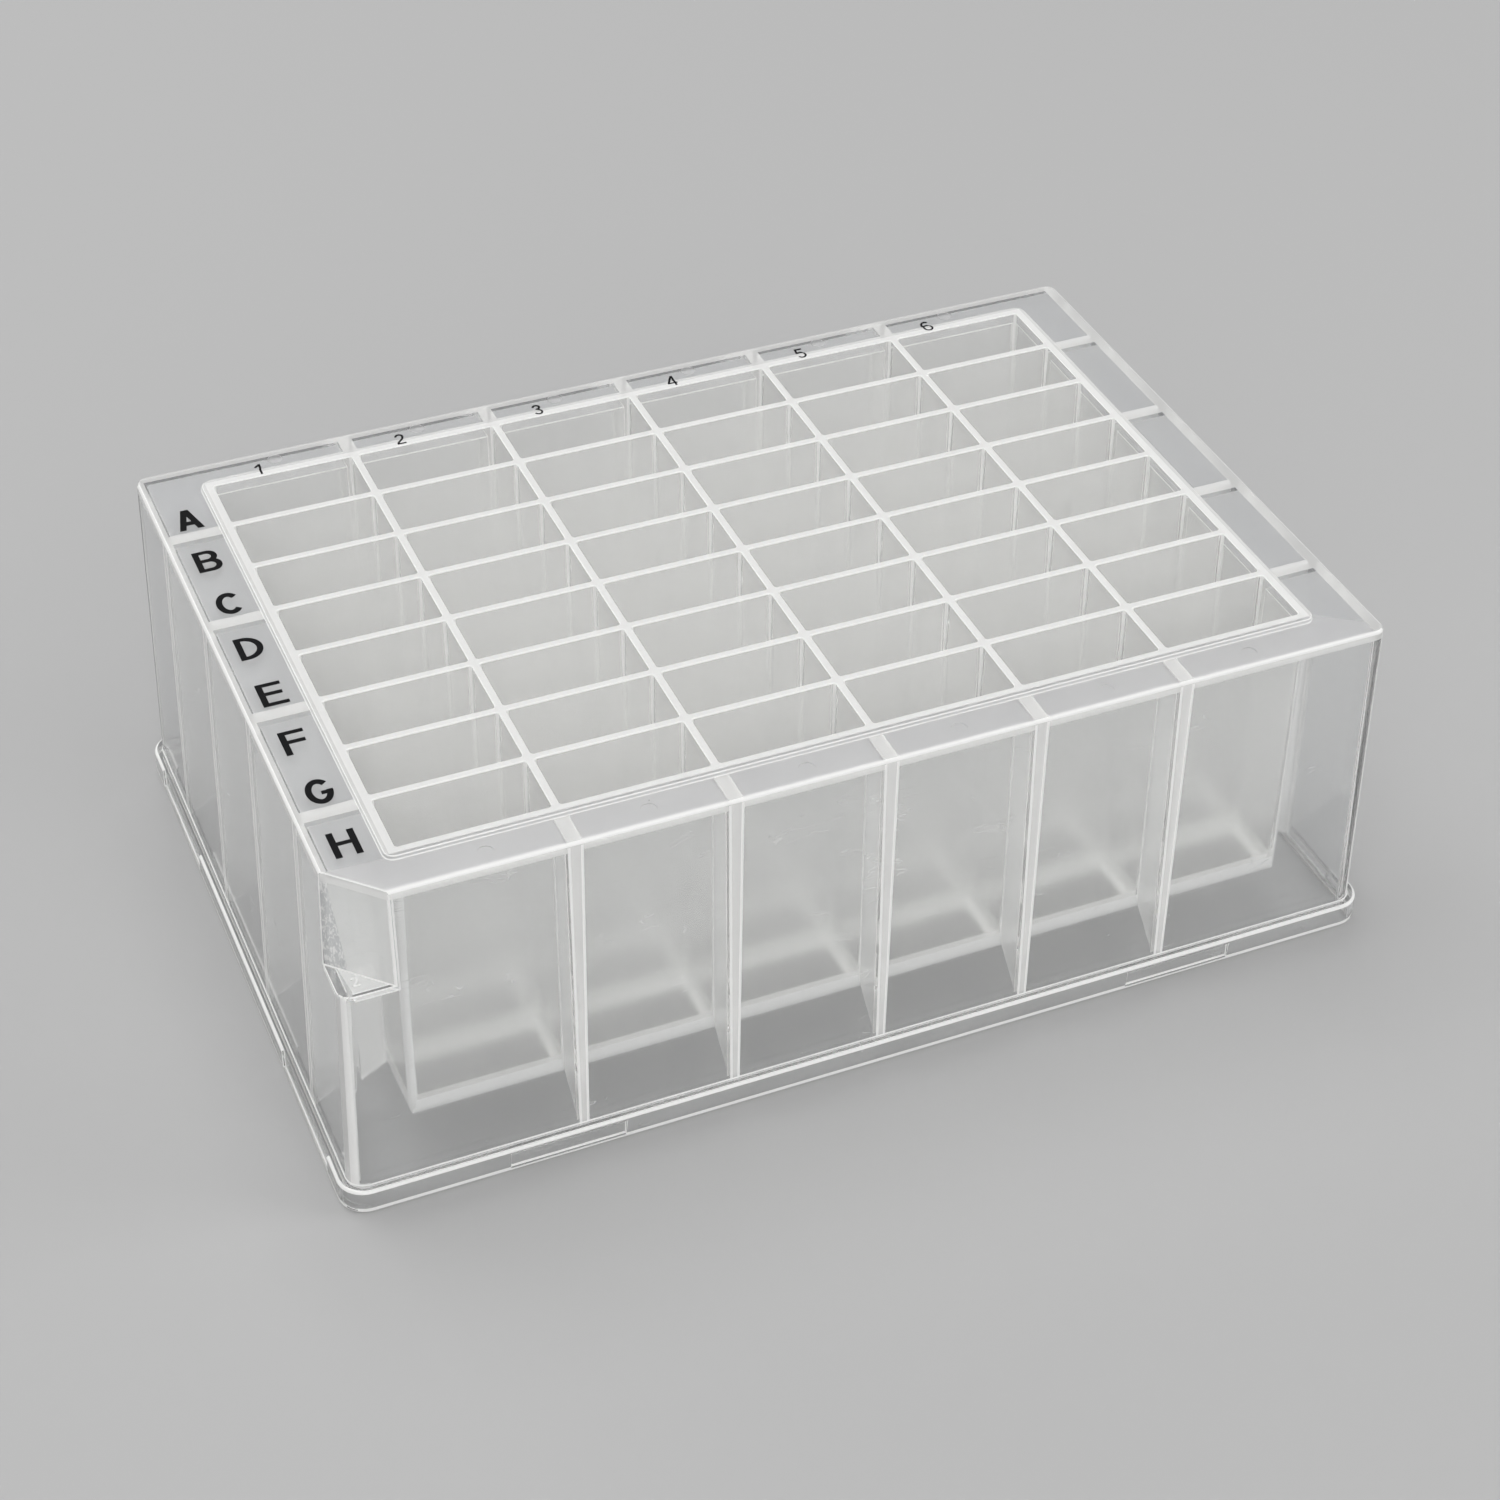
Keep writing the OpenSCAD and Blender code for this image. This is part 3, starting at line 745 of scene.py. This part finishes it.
def over_wall(point):
    """True above the skirt's wall or above a rib."""
    if point.x < LEFT_BORDER - DECK_X or point.x > DECK_X - RIGHT_BORDER:
        return True
    if point.y > DECK_Y - BACK_BORDER:
        return True
    if abs(point.y) > BLOCK_Y and near_any(point.x, COLUMN_RIBS, RIB_HALF):
        return True
    return abs(point.x) > BLOCK_X and near_any(point.y, ROW_RIBS, RIB_HALF)


def at_corner(point):
    """Where a wall behind the block's outer face is seen edge on; the block's face is painted pale
    there, as a highlight.
    """
    at_end = abs(point.x) > BLOCK_X - BLOCK_WALL and abs(abs(point.y) - BLOCK_Y) < NEAR
    at_side = abs(point.y) > BLOCK_Y - BLOCK_WALL and abs(abs(point.x) - BLOCK_X) < NEAR
    web = near_any(point.y, WEBS, WEB_HALF)
    return at_end or at_side or (web and abs(abs(point.x) - BLOCK_X) < NEAR)


# %% The cut corner, the rim and the deck
def finish_in_notch(face, point):
    # Tops here, such as the raised numeral's, are painted nearly white as a highlight, and so is
    # the wall's strip beside the deck.
    if facing_up(face):
        return "edge" if point.z > NOTCH_LEDGE + TIGHT else "notch"
    if point.z > DECK_UNDER:
        return "band"
    torn_to = NOTCH_SIDE_X + TORN_AT_LEDGE - TORN_LEAN * (point.z - NOTCH_LEDGE)
    return "torn" if point.x < torn_to else "notch"


def finish_on_rim(point):
    # Over the block the rim is painted nearly white as a highlight. Off the front it is painted as
    # a pale band.
    if over_block(point):
        return "edge"
    return "deck" if point.y < -BLOCK_Y else "band"


def finish_on_deck(point):
    # Over a wall or rib the deck is painted pale as a highlight.
    if over_wall(point):
        return "band"
    return "deck" if point.y < -BLOCK_Y else "clear_deck"


def over_block(point):
    return within(point, BLOCK_X + 0.01 * MM, BLOCK_Y + 0.01 * MM)


# %% The wells and the block round them
LEVEL = 0.9
STANDING = 0.3
FOOT_ROUND = 2.3 * MM
FOOT_LOOKS = (-0.97, -0.03)


def finish_in_well(face, point):
    if abs(face.normal.z) > LEVEL and point.z < WELL_FLOOR + MM:
        return "floor"
    # Round corners and the strip just above the floor are painted nearly white, as highlights.
    round_corner = face.smooth and abs(face.normal.z) < STANDING
    return "upright" if round_corner or point.z < WELL_FOOT_TOP else "well"


def finish_of_block(face, point):
    # The rounded foot looking out, and the block's corners, webs and curves, are painted nearly
    # white: highlights.
    if point.z < BLOCK_BOTTOM + FOOT_ROUND:
        if abs(face.normal.z) > LEVEL:
            return "floor"
        if FOOT_LOOKS[0] < face.normal.z < FOOT_LOOKS[1]:
            return "line"
    return "upright" if at_corner(point) or face.smooth else "block"


# %% The skirt and its corners
TURNED = 0.5
TURNED_A_LITTLE = 0.05
TOP_ROUND = 0.45 * MM
ROUND_LOOKS = (0.12, 0.985)


def finish_of_corner(face):
    """The skirt's round corners, seen edge on: painted nearly white in the middle as a highlight,
    paler towards the short sides.
    """
    turned = min(abs(face.normal.x), abs(face.normal.y))
    at_end = abs(face.normal.x) > abs(face.normal.y)
    if turned > TURNED:
        return "upright"
    return "rib" if at_end and turned > TURNED_A_LITTLE else None


def finish_of_skirt(face, point):
    # In front of a rib the skirt is painted paler, and in front of its fillets white: highlights
    # for the rib seen through.
    if rib_behind(face, point):
        return rib_behind(face, point)
    if face.smooth and point.z > FLANGE_TOP and finish_of_corner(face):
        return finish_of_corner(face)
    # Level rounded edges and the flange's foot are painted as white lines, and the skirt's top
    # strip as a pale band: highlights.
    level_edge = point.z < FLANGE_TOP + SLACK or point.z > DECK - TOP_ROUND
    rounding = face.smooth and ROUND_LOOKS[0] < abs(face.normal.z) < ROUND_LOOKS[1]
    if (level_edge and rounding) or (on_flange_side(face) and point.z < FOOT_LINE):
        return "line"
    if on_skirt_at_all(face) and point.z > DECK_UNDER:
        return "band"
    return "skirt_foot" if point.z < SHADED_FOOT else "skirt"


# %% Sorting the faces
ROUND_THE_BLOCK = 0.5 * MM
BELOW_THE_BLOCK = 0.2 * MM
INSIDE_THE_SKIRT = 1.2 * MM


def finish_at(face):
    """The short name of a face's finish. The first case that fits decides."""
    point = face.calc_center_median()
    # Rounded edges are painted as white lines, a highlight.
    if face[edge_mark]:
        return "line"
    if in_notch(face):
        return finish_in_notch(face, point)
    if on_rim(face):
        return finish_on_rim(point)
    if on_deck(face):
        return finish_on_deck(point)
    in_from_edge = within(point, DECK_X - EDGE_ZONE, DECK_Y - EDGE_ZONE)
    if point.z > DECK_UNDER - SLACK and in_from_edge and not over_block(point):
        return "deck"
    # The block's feet are painted as a white band, a highlight.
    if on_foot_wall(face) and point.z < PALE_FOOT_TOP:
        return "line"
    inside = within(point, BLOCK_X - WELL_INSET, BLOCK_Y - WELL_INSET)
    if inside and point.z > WELL_FLOOR - SLACK:
        return finish_in_well(face, point)
    near_block = within(point, BLOCK_X + ROUND_THE_BLOCK, BLOCK_Y + ROUND_THE_BLOCK)
    if near_block and BLOCK_BOTTOM - BELOW_THE_BLOCK < point.z < DECK_UNDER + SLACK:
        return finish_of_block(face, point)
    under_deck = within(point, DECK_X - INSIDE_THE_SKIRT, DECK_Y - INSIDE_THE_SKIRT)
    if under_deck and point.z < DECK_UNDER:
        return "rib"
    return finish_of_skirt(face, point)


counts = dict.fromkeys(FINISHES, 0)
for face in work.faces:
    finish = finish_at(face)
    face.material_index = SLOT[finish]
    counts[finish] += 1
print("faces for each finish:", counts)

# %% [markdown]
# ## Putting the piece together
# The mesh is cut into triangles, and edges where the surface turns sharply are marked, so that
# smooth shading stops there. Marking sharp edges by angle in one call would also make every flat
# wall smooth, and its light would slide, so the edges are marked one by one. The new piece then
# takes the place of the plain solid.

# %% The finished piece
bmesh.ops.triangulate(work, faces=work.faces, quad_method="BEAUTY", ngon_method="BEAUTY")
for edge in work.edges:
    edge.smooth = edge.calc_face_angle(0) < CREASE
moulding_mesh = bpy.data.meshes.new("moulded_plate")
work.to_mesh(moulding_mesh)
work.free()
moulding = bpy.data.objects.new("moulded_plate", moulding_mesh)
bpy.context.scene.collection.objects.link(moulding)
for material in FINISHES.values():
    moulding_mesh.materials.append(material)
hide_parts("plate")
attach(moulding, "root")
print("triangles in the moulding:", len(moulding_mesh.polygons))

# %% [markdown]
# ## The print
# Letters and numbers are pad-printed in black ink, a few hundredths of a millimetre thick. Ink
# is matt and never quite even: a cloud of slightly lighter black and a little grain keep it
# from looking like a hole. The solids have the right outlines, so they only get a finish.

# %% Ink
ink = bpy.data.materials.new("printing_ink")
ink.use_nodes = True
ink.node_tree.nodes.clear()
pen = Wire(ink.node_tree)
ink_place = pen.node("ShaderNodeTexCoord", output="Object")
ink_cloud = noise(pen, ink_place, 900, 3.0)
ink_grain = noise(pen, ink_place, 9000, 2.0)
ink_tint = pen.blend("MIX", (0.004, 0.004, 0.0045), (0.012, 0.012, 0.013), ink_cloud)
ink_height = 0.004 * ink_grain
ink_normal = pen.node("ShaderNodeBump", {}, {"Distance": MM, "Height": ink_height})
ink_values = {"Base Color": ink_tint, "Roughness": 0.6 + 0.2 * ink_cloud, "Normal": ink_normal}
ink_values["Specular IOR Level"] = 0.08
ink_surface = pen.node("ShaderNodeBsdfPrincipled", {}, ink_values)
pen.node("ShaderNodeOutputMaterial", {}, {"Surface": ink_surface})
for name in ("row_letters", "column_numbers"):
    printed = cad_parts[name]
    printed.data.materials.clear()
    printed.data.materials.append(ink)
print("inked:", [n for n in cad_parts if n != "plate"])

# %% [markdown]
# ## Floor, world and lamps
# Clear plastic shows what is around it, so the studio is as much a part of its look as the
# plastic is. A wide pale floor gives the walls something to stand out from, and far away it
# turns into the colour of the backdrop, so that no horizon shows through the plate. A soft even
# world fills the shadows, and large lamps above and at the sides draw the edges.

# %% Floor
FLOOR_TINT = 0.52
FADE_FROM = 0.5
FADE_TO = 1.5
FLOOR_RADIUS = 9
UNDER_THE_PLATE = (0, 0, -0.05 * MM)
bpy.ops.mesh.primitive_circle_add(
    vertices=96, radius=FLOOR_RADIUS, fill_type="NGON", location=UNDER_THE_PLATE
)
floor = bpy.context.object
floor.name = "studio_floor"


def seen_directly(wire):
    """1 for rays from the camera, or by way of clear or glossy plastic, and 0 for lamp light."""
    from_camera = wire.node("ShaderNodeLightPath", output="Is Camera Ray")
    through_plastic = from_camera.other("Is Transmission Ray")
    from_gloss = from_camera.other("Is Glossy Ray")
    every = from_camera + through_plastic + from_gloss
    return wire.node("ShaderNodeClamp", {}, {0: every})


floor_material = bpy.data.materials.new("studio_floor")
floor_material.use_nodes = True
floor_material.node_tree.nodes.clear()
ground = Wire(floor_material.node_tree)
pale = (FLOOR_TINT, FLOOR_TINT, FLOOR_TINT, 1)
paper_values = {"Base Color": pale, "Roughness": 0.9, "Specular IOR Level": 0.2}
paper = ground.node("ShaderNodeBsdfPrincipled", {}, paper_values)
far_paper = ground.node("ShaderNodeEmission", {}, {"Color": pale, "Strength": 1.0})
ground_place = ground.node("ShaderNodeTexCoord", output="Object")
distance = ground.node("ShaderNodeVectorMath", {"operation": "LENGTH"}, {0: ground_place}, 1)
far_away = seen_directly(ground) * distance.ramp(FADE_FROM, FADE_TO)
ground_surface = ground.node("ShaderNodeMixShader", {}, {0: far_away, 1: paper, 2: far_paper})
ground.node("ShaderNodeOutputMaterial", {}, {"Surface": ground_surface})
floor.data.materials.append(floor_material)
print("floor is", 2 * FLOOR_RADIUS, "m across")

# %% World
EVEN_LIGHT = 0.35
world = bpy.data.worlds.new("studio_world")
bpy.context.scene.world = world
world.use_nodes = True
world.node_tree.nodes.clear()
air = Wire(world.node_tree)
light = air.node("ShaderNodeBackground", {}, {"Color": (1, 1, 1, 1), "Strength": EVEN_LIGHT})
backdrop_seen = air.node("ShaderNodeBackground", {}, {"Color": pale, "Strength": 1.0})
sky = air.node("ShaderNodeMixShader", {}, {0: seen_directly(air), 1: light, 2: backdrop_seen})
air.node("ShaderNodeOutputWorld", {}, {"Surface": sky})
print("world ready, even light of", EVEN_LIGHT)


# %% Lamps
def lamp(name, at, towards, width, height, power):
    data = bpy.data.lights.new(name, "AREA")
    data.shape = "RECTANGLE"
    data.size = width
    data.size_y = height
    data.energy = power
    made = bpy.data.objects.new(name, data)
    made.location = at
    made.rotation_euler = (Vector(towards) - Vector(at)).to_track_quat("-Z", "Y").to_euler()
    bpy.context.scene.collection.objects.link(made)


middle = (0, 0, 0.02)
lamp("overhead_softbox", (-0.15, 0.35, 1.1), middle, 0.9, 0.6, 4.8)
lamp("front_softbox", (-0.3, -1.05, 0.6), middle, 1.5, 1.0, 6.7)
lamp("right_softbox", (0.95, -0.35, 0.6), middle, 0.5, 0.8, 3.0)
lamp("back_softbox", (-0.5, 1.0, 0.55), middle, 0.8, 0.5, 2.4)

# %% [markdown]
# ## Render settings that the plastic needs
# A ray that crosses the plate meets some twenty surfaces. With too few bounces it would stop
# inside and come back black. A shadow ray runs the whole length of the plate, so it may cross more.

# %% Bounces and view
WALLS_TO_CROSS = 28
SHADOW_WALLS = 48
scene = bpy.context.scene
scene.view_settings.view_transform = "Standard"
scene.cycles.max_bounces = WALLS_TO_CROSS
scene.cycles.transmission_bounces = WALLS_TO_CROSS
scene.cycles.transparent_max_bounces = SHADOW_WALLS
scene.cycles.glossy_bounces = 6
scene.cycles.diffuse_bounces = 5
print("a ray may cross", WALLS_TO_CROSS, "surfaces")
